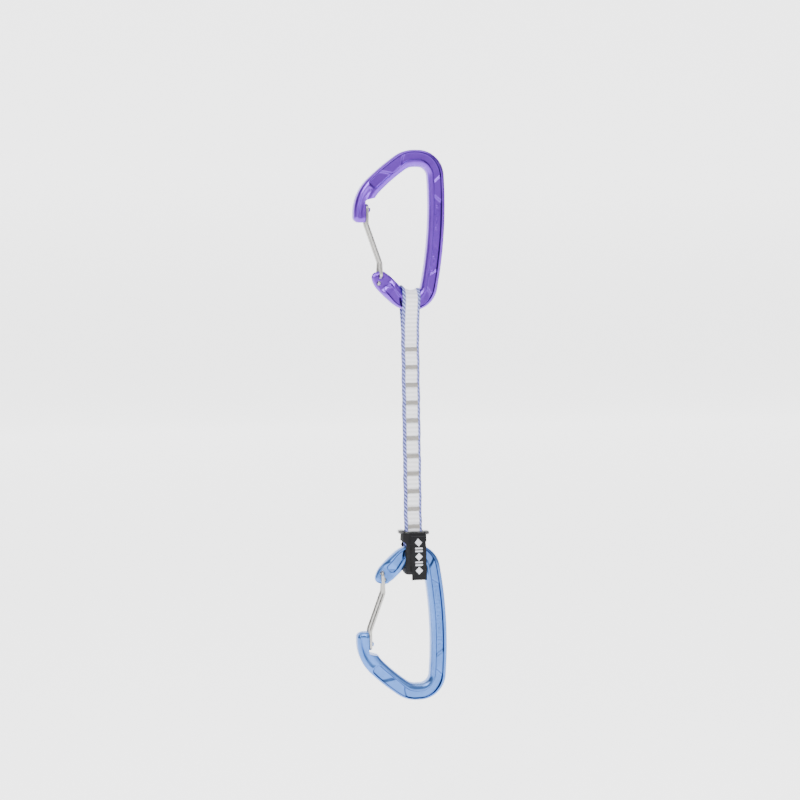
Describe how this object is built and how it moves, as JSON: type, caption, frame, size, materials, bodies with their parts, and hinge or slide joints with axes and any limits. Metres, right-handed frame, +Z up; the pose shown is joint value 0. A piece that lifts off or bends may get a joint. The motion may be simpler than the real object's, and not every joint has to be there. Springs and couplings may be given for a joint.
{
  "type": "climbing quickdraw",
  "caption": "Two wire-gate carabiners joined by a sewn webbing sling with a rubber keeper; clips a climbing rope to a bolt hanger.",
  "frame": {"origin": "hanger seat: the middle of the inner crown of the upper carabiner, from which the object hangs", "axes": "+Z up, against the pull; +X towards the spines, away from the gates; -Y towards the front of the keeper's label"},
  "size_m": [0.0591, 0.024, 0.3417],
  "materials": {
    "violet_anodised": "satin violet anodising on a forged, shot-peened surface",
    "light_blue_anodised": "satin light blue anodising on a forged, shot-peened surface",
    "stainless_wire": "drawn stainless wire",
    "webbing": "white high-tenacity webbing with blue and violet edge yarns",
    "tack_thread": "grey zigzag bar tack thread",
    "keeper_rubber": "glossy moulded black rubber",
    "keeper_textile": "black woven textile",
    "label_weave": "black woven label with a plain white pattern",
    "label_thread": "black thread"
  },
  "bodies": {
    "upper_carabiner": {"upper_carabiner_body": "violet_anodised", "upper_gate_spring_end": "stainless_wire"},
    "upper_gate": {"upper_gate_wire": "stainless_wire"},
    "sling": {"sling_webbing": "webbing", "bar_tack_01": "tack_thread", "bar_tack_02": "tack_thread", "bar_tack_03": "tack_thread", "bar_tack_04": "tack_thread", "bar_tack_05": "tack_thread", "bar_tack_06": "tack_thread", "bar_tack_07": "tack_thread", "bar_tack_08": "tack_thread", "bar_tack_09": "tack_thread", "bar_tack_10": "tack_thread", "bar_tack_11": "tack_thread", "keeper_rubber": "keeper_rubber", "keeper_sleeve": "keeper_textile", "keeper_label": "label_weave", "label_stitch": "label_thread"},
    "lower_carabiner": {"lower_carabiner_body": "light_blue_anodised", "lower_gate_spring_end": "stainless_wire"},
    "lower_gate": {"lower_gate_wire": "stainless_wire"}
  },
  "joints": [
    {"name": "upper_gate_opening", "type": "hinge", "parent": "upper_carabiner", "child": "upper_gate", "pos_m": [-0.02195, 0, -0.06646], "axis": [0, 1, 0], "range_deg": [0, 30], "stiffness_Nm_per_rad": 0.3, "springref_deg": -51.57, "deforming": ["upper_gate_spring_end"]},
    {"name": "sling_swing", "type": "hinge", "parent": "upper_carabiner", "child": "sling", "pos_m": [-0.0036, 0, -0.08241], "axis": [1, 0, 0], "range_deg": [-90, 90]},
    {"name": "lower_carabiner_swing", "type": "hinge", "parent": "sling", "child": "lower_carabiner", "pos_m": [-0.0011, 0, -0.23811], "axis": [1, 0, 0], "range_deg": [-20, 20], "stiffness_Nm_per_rad": 0.1},
    {"name": "lower_gate_opening", "type": "hinge", "parent": "lower_carabiner", "child": "lower_gate", "pos_m": [-0.02005, 0, -0.25406], "axis": [0, -1, 0], "range_deg": [0, 30], "stiffness_Nm_per_rad": 0.3, "springref_deg": -51.57, "deforming": ["lower_gate_spring_end"]}
  ]
}
